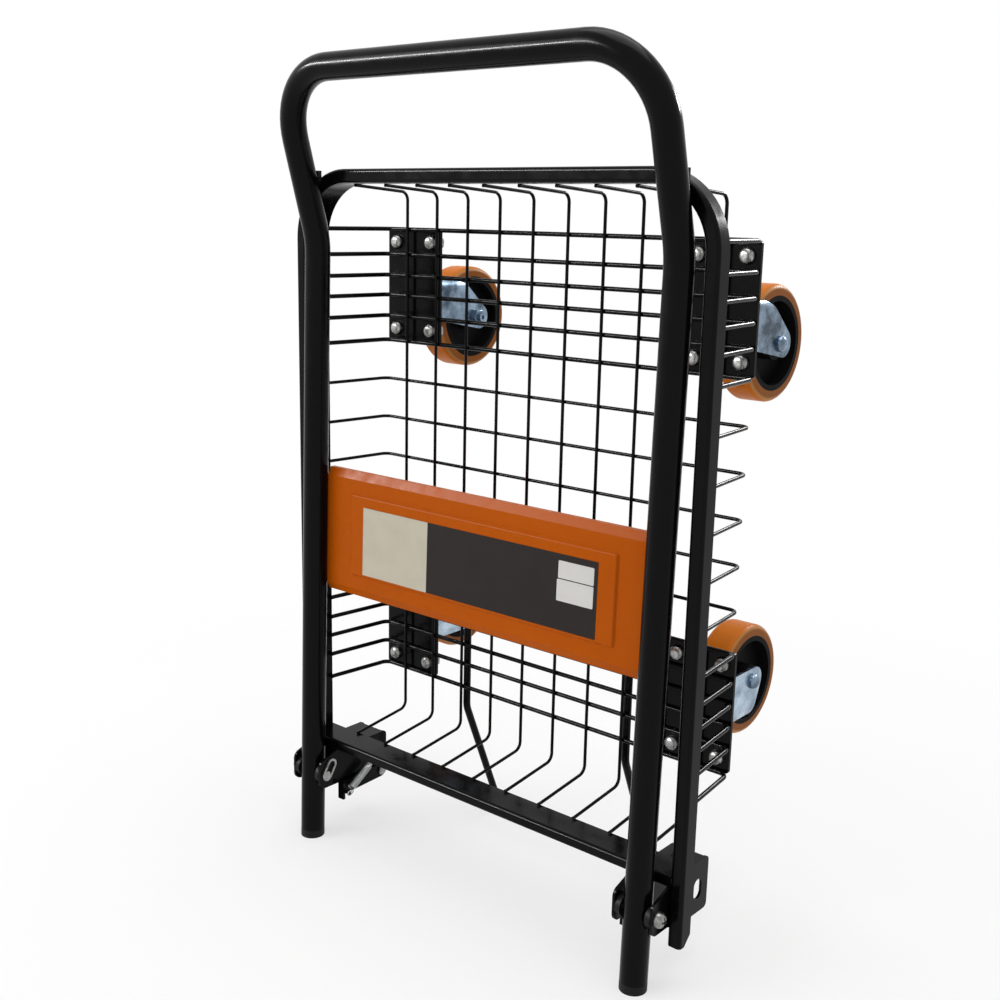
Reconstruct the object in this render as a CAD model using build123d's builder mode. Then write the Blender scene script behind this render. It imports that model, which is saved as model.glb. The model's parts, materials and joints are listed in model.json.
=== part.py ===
"""Folding basket dolly, standing folded on its handle feet and its rear rod stand.

Millimetres. X is across the dolly, Y runs from the handle back to the wheels, Z is up.
The origin is on the floor, under the middle of the whole dolly.
"""

import os
from math import acos, atan, atan2, cos, hypot, pi, radians, sin, sqrt, tan

from build123d import *

os.makedirs("parts", exist_ok=True)

# Handle: one bent tube with a sheet panel across it
tube_d = 25.4
tube_wall = 1.6
tube_span = 423.0
handle_lean = 1.5
crank_angle = 17.5
handle_rise = 88.3
top_bend_r = 65.0
crank_bend_r = 90.0
plug_flange = 8.0
plug_stem = 25.0
panel_rise = 204.0
panel_tall = 130.0
panel_setback = 8.0
panel_sheet = 1.2
panel_lip = 9.0
panel_band = 8.0
panel_band_deep = 4.0
emboss_margin_x = 36.0
emboss_margin_z = 22.0
emboss_depth = 2.2
emboss_corner_r = 4.0
emboss_slope = 45.0
emboss_round = 2.0
label_margin_x = 20.0
label_margin_z = 8.0
label_drop = 4.0
label_thick = 0.3

# Rim: one channel bent to an arch, closed below by an angle rail
rim_gap_side = 8.3
rim_gap_front = 3.3
rim_web = 13.5
rim_inner_leg = 32.0
rim_outer_leg = 16.4
rim_sheet = 2.0
rim_edge_r = 3.5
rim_corner_r = 68.0
rim_tall = 598.7
rim_foot_drop = 32.0
rim_foot_cut = 9.0
rail_rise = 33.0
rail_lip = 9.2
pad_tall = 10.0
pad_wide = 10.0
pad_thick = 4.0

# Wire basket
basket_depth = 103.8
side_draft = 8.5
top_draft = 5.0
bottom_draft = 8.4
long_wire_d = 3.2
long_wire_count = 10
long_wire_margin = 32.5
thick_wire_d = 4.5
thin_wire_d = 3.4
mid_wire_bays = 3
wire_bend_r = 9.0
wire_kink_r = 20.0
wire_lap = 3.0

# Casters and their plates
caster_inset_x = 37.0
caster_inset_z = 108.6
caster_lift = 5.9
plate_margin = 4.5
plate_thick = 3.0
plate_corner_r = 3.0
base_edge = 8.7
base_thick = 3.5
bolt_pitch_x = 48.2
bolt_pitch_z = 91.0
bolt_d = 8.0
bolt_head_d = 15.0
bolt_head_tall = 6.0
nut_across = 13.0
nut_tall = 6.5
bolt_tail = 2.0
dome_share = 0.9
wire_beside_bolt = 13.0
wire_mid_gap = 21.0
wheel_d = 108.0
wheel_wide = 32.0
wheel_room = 15.6
rigid_room = 6.8
rigid_lift = 10.0
tread_thick = 10.5
tread_round = 6.0
hub_rim = 5.0
hub_web = 7.0
hub_boss_d = 30.0
sleeve_d = 16.0
axle_d = 10.0
axle_head_d = 15.0
axle_head_tall = 6.0
axle_nut_across = 15.0
axle_nut_tall = 7.0
axle_tail = 4.0
axle_dimple_d = 4.5
axle_dimple = 2.0
fork_sheet = 3.0
fork_tip_r = 13.0
fork_tip_reach = 7.0
fork_root = 50.0
fork_root_drop = 9.5
fork_knee_back = 16.0
fork_knee_rise = 37.0
fork_knee_r = 30.0
rigid_tip_reach = 4.0
rigid_root = 57.0
rigid_root_drop = 6.0
rigid_knee_reach = 1.5
rigid_knee_drop = 42.0
rigid_knee_r = 20.0
fork_cheek_gap = 1.2
fork_wheel_gap = 4.0
trail = 34.5
race_d = 52.0
race_tall = 5.0
race_edge_r = 1.5
crown_thick = 3.5
kingpin_d = 12.0
kingpin_head_d = 20.0
kingpin_head_tall = 5.0

# Rod stand
stand_d = 8.0
stand_bay = 2.5
stand_rise = 11.0
stand_knee_drop = 25.0
stand_splay = 58.0
stand_bend_r = 26.0
stand_foot_r = 18.0

# Hinge brackets, pivots and latches
pivot_height = 75.0
pivot_d = 8.0
pivot_head_d = 15.0
pivot_head_tall = 7.0
pivot_recess_wide = 1.8
pivot_recess_long = 8.0
pivot_recess = 2.0
keeper_reach = 12.0
keeper_wide = 13.0
keeper_turn = 58.0
keeper_thick = 2.0
bracket_sheet = 2.5
bracket_room = 5.8
bracket_nose = 9.5
bracket_nose_tall = 30.0
bracket_nose_r = 8.0
bracket_back = 90.0
bracket_drop = 28.0
bracket_corner_r = 5.0
bracket_step = 5.0
bracket_step_start = 26.0
bracket_step_end = 36.0
slot_wide = 13.0
slot_tall = 20.0
slot_inset = 17.0
slot_drop = 4.0
stop_deep = 26.0
spacer_d = 20.0
lever_pin_inset = 11.0
lever_pin_drop = 20.0
lever_pin_d = 6.0
lever_pin_head_d = 10.0
lever_pin_head = 2.0
lever_sheet = 3.0
lever_eye_r = 7.5
lever_front = 16.5
lever_front_drop = 22.0
lever_bar = 16.0
lever_tab_tall = 18.5
lever_tab_wide = 5.0
spring_d = 9.5
spring_wire_d = 1.4
spring_gap = 0.8
spring_end = 4.0
spring_bend_r = 1.6
post_d = 4.0
post_rise = 9.0
post_inset = 19.0
post_gap = 10.0
hook_inset = 5.5
hook_drop = 3.3

# Fits
run_fit = 0.05
hole_fit = 0.2
seat_fit = 0.02
move_gap = 0.3
weld_sink = 0.2

# Heights worked out from the sizes above
rail_top = pivot_height + rail_rise
rim_top = rail_top + rim_tall
rim_foot = pivot_height - rim_foot_drop
rim_inner_top = rim_top - rim_web
handle_top = rim_top + handle_rise
caster_middle = (rim_inner_top + rail_top) / 2 + caster_lift
caster_offset = (rim_inner_top - rail_top) / 2 - caster_inset_z
upper_z = caster_middle + caster_offset
lower_z = caster_middle - caster_offset
group_half = bolt_pitch_z / 2 + wire_beside_bolt
mid_pitch = (caster_offset - group_half) / mid_wire_bays

# The handle's crank starts where the tube above it just clears the rim's rest pads
tube_r = tube_d / 2
lean = radians(handle_lean)
crank = radians(crank_angle - handle_lean)
pad_low = rim_inner_top + (rim_web - pad_tall) / 2
pad_reach = pad_thick + move_gap + tube_r / cos(crank) - tube_r - rim_gap_front
crank_height = (pad_low * tan(crank) + pivot_height * tan(lean) - pad_reach) / (tan(crank) + tan(lean))
crank_back = (crank_height - pivot_height) * tan(lean)
top_back = crank_back - (handle_top - crank_height) * tan(crank)

# Depths, with the middle of the whole dolly at zero
long_r = long_wire_d / 2
thick_r = thick_wire_d / 2
thin_r = thin_wire_d / 2
wheel_r = wheel_d / 2
rim_setback = tube_r + rim_gap_front
plate_setback = rim_setback + basket_depth + long_r + thick_wire_d - 2 * weld_sink
swivel_setback = plate_setback + plate_thick + base_thick + wheel_room + wheel_r
pivot_y = -(top_back - tube_r + swivel_setback + wheel_r) / 2
y_rim = pivot_y + rim_setback
y_leg = y_rim + rim_inner_leg
y_long = y_rim + basket_depth
y_plate = pivot_y + plate_setback
y_base = y_plate + plate_thick
y_base_back = y_base + base_thick
y_swivel = pivot_y + swivel_setback
y_rigid = y_base_back + rigid_room + wheel_r

# Widths
half_span = tube_span / 2
rim_inner = half_span + tube_r + rim_gap_side
rim_outer = rim_inner + rim_web
floor_half = rim_inner - thick_r + weld_sink - side_draft
caster_x = floor_half - caster_inset_x
long_wire_pitch = 2 * (floor_half - long_wire_margin) / (long_wire_count - 1)
room_half = tube_r + bracket_room
lever_x = half_span - room_half - bracket_sheet - move_gap
cheek_in = wheel_wide / 2 + fork_cheek_gap
cheek_out = cheek_in + fork_sheet


def wall(y):
    """Upright plane across the dolly at depth y; a negative extrude goes back."""
    return Plane.XZ.offset(-y)


def side(x):
    """Upright plane along the dolly at x: its own x is Y and its own y is Z."""
    return Plane.YZ.offset(x)


def tube_depth(z):
    """Depth of the handle tube's axis at height z, below the crank."""
    return pivot_y + (z - pivot_height) * tan(lean)


def rod(points, radii, radius):
    """Round bar bent along straight runs with an arc at each corner."""
    with BuildPart() as bar:
        with BuildLine() as path:
            FilletPolyline(*points, radius=radii)
        with BuildSketch(Plane(path.line @ 0, z_dir=path.line % 0)):
            Circle(radius)
        sweep()
    return bar.part


def arch(half, top, corner):
    """Upright plate outline with rounded upper corners, from the rim's feet up."""
    with BuildSketch() as plate:
        with Locations((0, rim_foot)):
            Rectangle(2 * half, top - rim_foot, align=(Align.CENTER, Align.MIN))
        fillet(plate.vertices().group_by(Axis.Y)[-1], corner)
    return plate.sketch


def slab(profile, x_from, x_to):
    """A flat plate: a side profile thickened between two places across the dolly."""
    with BuildPart() as plate:
        with BuildSketch(side(min(x_from, x_to))):
            add(profile)
        extrude(amount=abs(x_to - x_from))
    return plate.part


def round_bar(x_from, x_to, y, z, radius, bore=0.0):
    """A cylinder across the dolly, with a bore through it where one is given."""
    with BuildPart() as bar:
        with BuildSketch(side(min(x_from, x_to))):
            with Locations((y, z)):
                Circle(radius)
                if bore:
                    Circle(bore, mode=Mode.SUBTRACT)
        extrude(amount=abs(x_to - x_from))
    return bar.part


def hex_nut(x_from, x_to, y, z, across, bore):
    """A hexagon nut with its bore, on a bolt that lies across the dolly."""
    with BuildPart() as nut:
        with BuildSketch(side(min(x_from, x_to))):
            with Locations((y, z)):
                RegularPolygon(across / 2, 6, major_radius=False)
                Circle(bore, mode=Mode.SUBTRACT)
        extrude(amount=abs(x_to - x_from))
    return nut.part


def dome_bolt(x_head, x_end, y, z, radius, head_d, head_tall):
    """A bolt across the dolly: a domed head beyond x_head and a shank to x_end."""
    outward = 1 if x_head > x_end else -1
    with BuildPart() as bolt:
        with BuildSketch(side(min(x_head, x_end))):
            with Locations((y, z)):
                Circle(radius)
        extrude(amount=abs(x_head - x_end))
        with BuildSketch(side(x_head)):
            with Locations((y, z)):
                Circle(head_d / 2)
        extrude(amount=outward * head_tall)
        crown = bolt.faces().sort_by(Axis.X)[-1 if outward > 0 else 0]
        fillet(crown.edges(), head_tall * dome_share)
    return bolt.part


def write(builder, name):
    """Label a finished piece and write it to its own file."""
    builder.part.label = name
    export_step(builder.part, f"parts/{name}.step")


def write_group(pieces, name):
    """Write like solids, which may be several, as one piece of the assembly."""
    with BuildPart() as group:
        add(pieces)
    write(group, name)


# Handle tube, drilled for the pivots
handle_leg = [
    (tube_depth(plug_flange), plug_flange),
    (pivot_y + crank_back, crank_height),
    (pivot_y + top_back, handle_top),
]
handle_points = [(-half_span, y, z) for y, z in handle_leg] + [(half_span, y, z) for y, z in handle_leg[::-1]]

with BuildPart() as handle_tube:
    with BuildLine() as handle_path:
        FilletPolyline(*handle_points, radius=[crank_bend_r, top_bend_r, top_bend_r, crank_bend_r])
    with BuildSketch(Plane(handle_path.line @ 0, z_dir=handle_path.line % 0)):
        Circle(tube_r)
        Circle(tube_r - tube_wall, mode=Mode.SUBTRACT)
    sweep()
    with BuildSketch(side(-half_span - tube_d)):
        with Locations((pivot_y, pivot_height)):
            Circle(pivot_d / 2 + run_fit)
    extrude(amount=tube_span + 2 * tube_d, mode=Mode.SUBTRACT)
write(handle_tube, "handle_tube")

# Foot plugs: a flange under the tube's end and a stem inside it, cut flat on the floor
foot_plugs = []
for sx in (-1, 1):
    up_tube = (0, sin(lean), cos(lean))
    seat = Plane((sx * half_span, tube_depth(plug_flange), plug_flange), z_dir=up_tube)
    with BuildPart() as plug:
        with BuildSketch(seat):
            Circle(tube_r)
        extrude(amount=-2 * plug_flange)
        with BuildSketch(seat):
            Circle(tube_r - tube_wall - seat_fit)
        extrude(amount=plug_stem)
        split(bisect_by=Plane.XY, keep=Keep.TOP)
    foot_plugs.append(plug.part)
write_group(foot_plugs, "foot_plugs")

# Sheet panel between the handle tubes, on the handle's own leaning plane
panel_middle = pivot_height + panel_rise + panel_tall / 2
panel_face = Plane(
    (0, tube_depth(panel_middle) + panel_setback * cos(lean), panel_middle),
    x_dir=(1, 0, 0),
    z_dir=(0, -cos(lean), sin(lean)),
)
panel_half = half_span - sqrt(tube_r**2 - panel_setback**2) + weld_sink
emboss_wide = 2 * (panel_half - emboss_margin_x)
emboss_tall = panel_tall - 2 * emboss_margin_z

panel_end = Plane(
    panel_face.origin - Vector(panel_half, 0, 0), x_dir=(0, cos(lean), -sin(lean)), z_dir=(1, 0, 0)
)


def folded(deep):
    """Section of a sheet with a sloping band along both edges, folded back to a lip behind it."""
    half = panel_tall / 2
    with BuildSketch() as section:
        with BuildLine():
            Polyline(
                (0, panel_band - half),
                (0, half - panel_band),
                (panel_band_deep, half),
                (deep, half),
                (deep, -half),
                (panel_band_deep, -half),
                close=True,
            )
        make_face()
    return section.sketch


with BuildSketch() as panel_inside:
    add(folded(panel_lip + 2 * panel_sheet))
    offset(amount=-panel_sheet, kind=Kind.INTERSECTION)

with BuildPart() as handle_panel:
    with BuildSketch(panel_end):
        add(folded(panel_lip))
        add(panel_inside.sketch, mode=Mode.SUBTRACT)
    extrude(amount=2 * panel_half)
    with BuildSketch(panel_face):
        RectangleRounded(emboss_wide, emboss_tall, emboss_corner_r)
    extrude(amount=emboss_depth, taper=emboss_slope)
    fillet(handle_panel.faces().sort_by(Axis.Y)[0].edges(), emboss_round)
write(handle_panel, "handle_panel")

with BuildPart() as panel_label:
    with BuildSketch(panel_face.offset(emboss_depth)):
        with Locations((0, -label_drop)):
            Rectangle(emboss_wide - 2 * label_margin_x, emboss_tall - 2 * label_margin_z)
    extrude(amount=label_thick)
write(panel_label, "panel_label")

# Rim channel: a front web between a short outer leg and a deep inner leg
outer_arch = arch(rim_outer, rim_top, rim_corner_r)
outer_leg_arch = arch(rim_outer - rim_sheet, rim_top - rim_sheet, rim_corner_r - rim_sheet)
inner_leg_arch = arch(rim_inner + rim_sheet, rim_inner_top + rim_sheet, rim_corner_r - rim_web + rim_sheet)
inner_arch = arch(rim_inner, rim_inner_top, rim_corner_r - rim_web)

with BuildPart() as rim_frame:
    with BuildSketch(wall(y_rim)):
        add(outer_arch)
        add(inner_arch, mode=Mode.SUBTRACT)
    extrude(amount=-rim_sheet)
    with BuildSketch(wall(y_rim)):
        add(outer_arch)
        add(outer_leg_arch, mode=Mode.SUBTRACT)
    extrude(amount=-rim_outer_leg)
    with BuildSketch(wall(y_rim)):
        add(inner_leg_arch)
        add(inner_arch, mode=Mode.SUBTRACT)
    extrude(amount=-rim_inner_leg)
    front_edges = rim_frame.faces().sort_by(Axis.Y)[0].edges()
    fillet(front_edges - front_edges.group_by(Axis.Z)[0], rim_edge_r)
    with BuildSketch(side(-rim_outer)):
        with BuildLine():
            cut_start = y_rim + rim_outer_leg - rim_foot_cut
            Polyline(
                (cut_start, rim_foot),
                (y_leg, rim_foot + y_leg - cut_start),
                (y_leg, rim_foot),
                close=True,
            )
        make_face()
    extrude(amount=2 * rim_outer, mode=Mode.SUBTRACT)
write(rim_frame, "rim_frame")

# Lower rail: an angle with a deep flat top and a short front lip
with BuildPart() as lower_rail:
    with BuildSketch(side(-rim_inner)):
        with BuildLine():
            Polyline(
                (y_rim, rail_top),
                (y_rim, rail_top - rail_lip),
                (y_rim + rim_sheet, rail_top - rail_lip),
                (y_rim + rim_sheet, rail_top - rim_sheet),
                (y_leg, rail_top - rim_sheet),
                (y_leg, rail_top),
                close=True,
            )
        make_face()
    extrude(amount=2 * rim_inner)
    fillet(lower_rail.edges().filter_by(Axis.X).group_by(Axis.Y)[0].sort_by(Axis.Z)[-1], rim_edge_r)
write(lower_rail, "lower_rail")

# Rubber pads on the rim's top bar, where the folded handle comes to rest
with BuildPart() as rest_pads:
    with BuildSketch(wall(y_rim)):
        with Locations((-half_span, pad_low), (half_span, pad_low)):
            Rectangle(pad_wide, pad_tall, align=(Align.CENTER, Align.MIN))
    extrude(amount=pad_thick)
write(rest_pads, "rest_pads")

# Long wires: down the basket's floor, turned forward to the rim at both ends
y_wire_end = y_leg - wire_lap
top_seat = rim_inner_top - long_r + weld_sink
low_seat = rail_top + long_r - weld_sink
long_profile = [
    (y_wire_end, top_seat),
    (y_leg, top_seat),
    (y_long, top_seat - top_draft),
    (y_long, low_seat + bottom_draft),
    (y_leg, low_seat),
    (y_wire_end, low_seat),
]
wire_radii = [wire_kink_r, wire_bend_r, wire_bend_r, wire_kink_r]
long_xs = [(i - (long_wire_count - 1) / 2) * long_wire_pitch for i in range(long_wire_count)]
long_wires = [rod([(x, y, z) for y, z in long_profile], wire_radii, long_r) for x in long_xs]
write_group(long_wires, "long_wires")


def cross_wire(z, radius):
    """A wire across the basket's floor, turned forward along both side walls."""
    seat = rim_inner - radius + weld_sink
    y_floor = y_long + long_r + radius - weld_sink
    half = [(seat, y_wire_end), (seat, y_leg), (seat - side_draft, y_floor)]
    points = [(-x, y, z) for x, y in half] + [(x, y, z) for x, y in half[::-1]]
    return rod(points, wire_radii, radius)


# Thick cross wires carry the casters, two beside each row of bolts; thin ones fill the middle
group_steps = [wire_mid_gap / 2, bolt_pitch_z / 2 - wire_beside_bolt, group_half]
thick_zs = [z + s * step for z in (upper_z, lower_z) for step in group_steps for s in (-1, 1)]
thin_zs = [caster_middle + i * mid_pitch for i in range(1 - mid_wire_bays, mid_wire_bays)]
write_group([cross_wire(z, thick_r) for z in thick_zs], "cross_wires_thick")
write_group([cross_wire(z, thin_r) for z in thin_zs], "cross_wires_thin")

# Rod stand behind the basket: two legs turned back to a foot bar on the floor
stand_r = stand_d / 2
stand_x = stand_bay * long_wire_pitch
y_stand = y_plate + stand_r
stand_leg = [
    (y_stand, lower_z + group_half + stand_rise),
    (y_stand, lower_z - group_half - stand_knee_drop),
    (y_stand + stand_splay, stand_r),
]
stand_points = [(-stand_x, y, z) for y, z in stand_leg] + [(stand_x, y, z) for y, z in stand_leg[::-1]]
stand_radii = [stand_bend_r, stand_foot_r, stand_foot_r, stand_bend_r]
write_group([rod(stand_points, stand_radii, stand_r)], "rod_stand")

# Caster plates, base plates and the bolts through both
base_wide = bolt_pitch_x + 2 * base_edge
base_tall = bolt_pitch_z + 2 * base_edge
casters = [(sx * caster_x, z) for z in (upper_z, lower_z) for sx in (-1, 1)]
bolt_steps = [(sx * bolt_pitch_x / 2, sz * bolt_pitch_z / 2) for sx in (-1, 1) for sz in (-1, 1)]
bolt_places = [(x + dx, z + dz) for x, z in casters for dx, dz in bolt_steps]

with BuildPart() as caster_plates:
    with BuildSketch(wall(y_plate)):
        with Locations(*casters):
            RectangleRounded(base_wide + 2 * plate_margin, base_tall + 2 * plate_margin, plate_corner_r)
        with Locations(*bolt_places):
            Circle(bolt_d / 2 + hole_fit, mode=Mode.SUBTRACT)
    extrude(amount=-plate_thick)
write(caster_plates, "caster_plates")

with BuildPart() as plate_bolts:
    with BuildSketch(wall(y_plate)):
        with Locations(*bolt_places):
            Circle(bolt_d / 2)
    extrude(amount=-(plate_thick + base_thick + nut_tall + bolt_tail))
    with BuildSketch(wall(y_plate)):
        with Locations(*bolt_places):
            Circle(bolt_head_d / 2)
    extrude(amount=bolt_head_tall)
    fillet(plate_bolts.faces().group_by(Axis.Y)[0].edges(), bolt_head_tall * dome_share)
write(plate_bolts, "plate_bolts")

with BuildPart() as plate_nuts:
    with BuildSketch(wall(y_base_back)):
        with Locations(*bolt_places):
            RegularPolygon(nut_across / 2, 6, major_radius=False)
            Circle(bolt_d / 2 + seat_fit, mode=Mode.SUBTRACT)
    extrude(amount=-nut_tall)
write(plate_nuts, "plate_nuts")


def base_outline(x, z):
    """Outline of a caster's own base plate, drilled for its four bolts."""
    with BuildSketch() as outline:
        with Locations((x, z)):
            RectangleRounded(base_wide, base_tall, plate_corner_r)
        with Locations(*[(x + dx, z + dz) for dx, dz in bolt_steps]):
            Circle(bolt_d / 2 + hole_fit, mode=Mode.SUBTRACT)
    return outline.sketch


def touch_point(centre, radius, point, turn):
    """Where a line from a point touches a circle, on the side that turn gives."""
    dy, dz = point[0] - centre[0], point[1] - centre[1]
    angle = atan2(dz, dy) + turn * acos(radius / hypot(dy, dz))
    return centre[0] + radius * cos(angle), centre[1] + radius * sin(angle)


def fork_shell(x, y_root, z_root, root, tip, knee, knee_r, axle):
    """A pressed fork: two cheeks that run to the axle, closed by a round back on the knee's side."""
    turn = 1 if knee[1] > axle[1] else -1
    plain = (y_root, z_root - turn * root / 2)
    back = (y_root, z_root + turn * root / 2)
    z_spring = back[1] - turn * cheek_out
    z_open = turn * min(turn * plain[1], turn * tip[1] - fork_tip_r)
    with BuildSketch() as outline:
        with BuildLine():
            Polyline(
                plain,
                touch_point(tip, fork_tip_r, plain, turn),
                touch_point(tip, fork_tip_r, knee, -turn),
                knee,
                back,
                close=True,
            )
        make_face()
        fillet(outline.vertices().sort_by_distance(knee)[0], knee_r)
        with Locations(tip):
            Circle(fork_tip_r)
    with BuildSketch() as section:
        with Locations((x, z_spring)):
            Circle(cheek_out)
        with Locations((x, (z_spring + z_open) / 2)):
            Rectangle(2 * cheek_out, abs(z_spring - z_open))
        with Locations((x, z_spring)):
            Circle(cheek_in, mode=Mode.SUBTRACT)
        with Locations((x, (z_spring + z_open) / 2)):
            Rectangle(2 * cheek_in, abs(z_spring - z_open), mode=Mode.SUBTRACT)
    with BuildPart() as shell:
        with BuildSketch(wall(y_root)):
            add(section.sketch)
        extrude(amount=-(tip[0] + fork_tip_r - y_root))
        add(slab(outline.sketch, x - cheek_out, x + cheek_out), mode=Mode.INTERSECT)
        with BuildSketch(side(x - cheek_in)):
            with Locations(axle):
                Circle(wheel_r + fork_wheel_gap)
        extrude(amount=2 * cheek_in, mode=Mode.SUBTRACT)
        with BuildSketch(side(x - cheek_out)):
            with Locations(axle):
                Circle(axle_d / 2 + hole_fit)
        extrude(amount=2 * cheek_out, mode=Mode.SUBTRACT)
    return shell.part


def axle_bolt(x, outward, y, z):
    """Wheel axle: a bolt through both cheeks, its domed head outside and its drilled end inside."""
    x_end = x - outward * (cheek_out + axle_nut_tall + axle_tail)
    head = dome_bolt(x + outward * cheek_out, x_end, y, z, axle_d / 2, axle_head_d, axle_head_tall)
    with BuildPart() as bolt:
        add(head)
        with BuildSketch(side(x_end)):
            with Locations((y, z)):
                Circle(axle_dimple_d / 2)
        extrude(amount=outward * axle_dimple, mode=Mode.SUBTRACT)
    return bolt.part


def axle_nut(x, outward, y, z):
    """Nut on the axle's drilled end."""
    x_seat = x - outward * cheek_out
    return hex_nut(x_seat - outward * axle_nut_tall, x_seat, y, z, axle_nut_across, axle_d / 2 + seat_fit)


# Where the wheels turn, in depth and height
axles = {"upper": (y_swivel, upper_z - trail), "lower": (y_rigid, lower_z + rigid_lift)}

# Rigid casters under the lower plates
rigid_y, rigid_z = axles["lower"]
rigid_tip = (rigid_y + rigid_tip_reach, rigid_z)
rigid_knee = (rigid_y + rigid_knee_reach, rigid_z - rigid_knee_drop)
z_root = lower_z - rigid_root_drop
rigid_forks = []
for sx in (-1, 1):
    x = sx * caster_x
    lower = axles["lower"]
    shell = fork_shell(x, y_base_back, z_root, rigid_root, rigid_tip, rigid_knee, rigid_knee_r, lower)
    with BuildPart() as fork:
        with BuildSketch(wall(y_base)):
            add(base_outline(x, lower_z))
        extrude(amount=-base_thick)
        add(shell)
    rigid_forks.append(fork.part)
write_group(rigid_forks, "rigid_forks")
write_group([axle_bolt(sx * caster_x, sx, *axles["lower"]) for sx in (-1, 1)], "rigid_axles")
write_group([axle_nut(sx * caster_x, sx, *axles["lower"]) for sx in (-1, 1)], "rigid_axle_nuts")

# Swivel casters under the upper plates: base, race and kingpin stay, the fork turns
y_crown = y_base_back + race_tall + move_gap
y_pin_head = y_crown + crown_thick + move_gap
swivels = [(sx * caster_x, upper_z) for sx in (-1, 1)]

with BuildPart() as swivel_bases:
    with BuildSketch(wall(y_base)):
        for x, z in swivels:
            add(base_outline(x, z))
        with Locations(*swivels):
            Circle(kingpin_d / 2 + seat_fit, mode=Mode.SUBTRACT)
    extrude(amount=-base_thick)
write(swivel_bases, "swivel_bases")

with BuildPart() as swivel_races:
    with BuildSketch(wall(y_base_back)):
        with Locations(*swivels):
            Circle(race_d / 2)
            Circle(kingpin_d / 2 + seat_fit, mode=Mode.SUBTRACT)
    extrude(amount=-race_tall)
    back_rims = swivel_races.faces().group_by(Axis.Y)[-1].edges()
    fillet(back_rims.group_by(SortBy.RADIUS)[-1], race_edge_r)
write(swivel_races, "swivel_races")

with BuildPart() as kingpins:
    with BuildSketch(wall(y_base)):
        with Locations(*swivels):
            Circle(kingpin_d / 2)
    extrude(amount=y_base - y_pin_head)
    with BuildSketch(wall(y_pin_head)):
        with Locations(*swivels):
            Circle(kingpin_head_d / 2)
    extrude(amount=-kingpin_head_tall)
write(kingpins, "kingpins")

swivel_y, swivel_z = axles["upper"]
swivel_tip = (swivel_y + fork_tip_reach, swivel_z)
swivel_knee = (swivel_y - fork_knee_back, swivel_z + fork_knee_rise)
z_crown = upper_z - fork_root_drop
for name, sx in (("left", -1), ("right", 1)):
    x = sx * caster_x
    shell = fork_shell(x, y_crown, z_crown, fork_root, swivel_tip, swivel_knee, fork_knee_r, axles["upper"])
    with BuildPart() as swivel_fork:
        with BuildSketch(wall(y_crown)):
            with Locations((x, z_crown + fork_root / 2 - cheek_out)):
                Circle(cheek_out)
            with Locations((x, z_crown - cheek_out / 2)):
                Rectangle(2 * cheek_out, fork_root - cheek_out)
            with Locations((x, upper_z)):
                Circle(kingpin_d / 2 + run_fit, mode=Mode.SUBTRACT)
        extrude(amount=-crown_thick)
        add(shell)
    write(swivel_fork, f"swivel_fork_{name}")
    write_group([axle_bolt(x, sx, *axles["upper"])], f"swivel_axle_{name}")
    write_group([axle_nut(x, sx, *axles["upper"])], f"swivel_axle_nut_{name}")

# Wheels: tread on a webbed hub, turning on a steel sleeve
tread_in = wheel_r - tread_thick
hub_r = tread_in - seat_fit
hub_bore = sleeve_d / 2 + seat_fit

for row, (y, z) in axles.items():
    for name, sx in (("left", -1), ("right", 1)):
        x = sx * caster_x
        x_face = x - wheel_wide / 2
        with BuildPart() as tread:
            with BuildSketch(side(x_face)):
                with Locations((y, z)):
                    Circle(wheel_r)
                    Circle(tread_in, mode=Mode.SUBTRACT)
            extrude(amount=wheel_wide)
            fillet(tread.edges().filter_by(GeomType.CIRCLE).group_by(SortBy.RADIUS)[-1], tread_round)
        write(tread, f"wheel_tread_{row}_{name}")

        with BuildPart() as hub:
            with BuildSketch(side(x - hub_web / 2)):
                with Locations((y, z)):
                    Circle(hub_r)
                    Circle(hub_bore, mode=Mode.SUBTRACT)
            extrude(amount=hub_web)
            with BuildSketch(side(x_face)):
                with Locations((y, z)):
                    Circle(hub_r)
                    Circle(hub_r - hub_rim, mode=Mode.SUBTRACT)
                    Circle(hub_boss_d / 2)
                    Circle(hub_bore, mode=Mode.SUBTRACT)
            extrude(amount=wheel_wide)
        write(hub, f"wheel_hub_{row}_{name}")

        x_end = cheek_in - move_gap
        sleeve = round_bar(x - x_end, x + x_end, y, z, sleeve_d / 2, axle_d / 2 + run_fit)
        write_group([sleeve], f"wheel_sleeve_{row}_{name}")

# Hinge brackets: two side plates joined by a top web, under the lower rail. The outer plate bears on the
# rim's leg and steps in behind it, so that the web's end is narrower than the front
y_bracket_front = pivot_y - bracket_nose
y_bracket_back = pivot_y + bracket_back
y_step = pivot_y + bracket_step_start
y_web = pivot_y + bracket_step_end
y_web_end = y_bracket_back - bracket_corner_r
bracket_low = pivot_height - bracket_drop
nose_low = pivot_height - bracket_nose_tall / 2
rail_low = rail_top - rail_lip
web_low = rail_low - bracket_sheet
x_wide = half_span + room_half
x_narrow = x_wide - bracket_step
lever_pin_y = y_bracket_back - lever_pin_inset
lever_pin_z = pivot_height - lever_pin_drop


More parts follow.
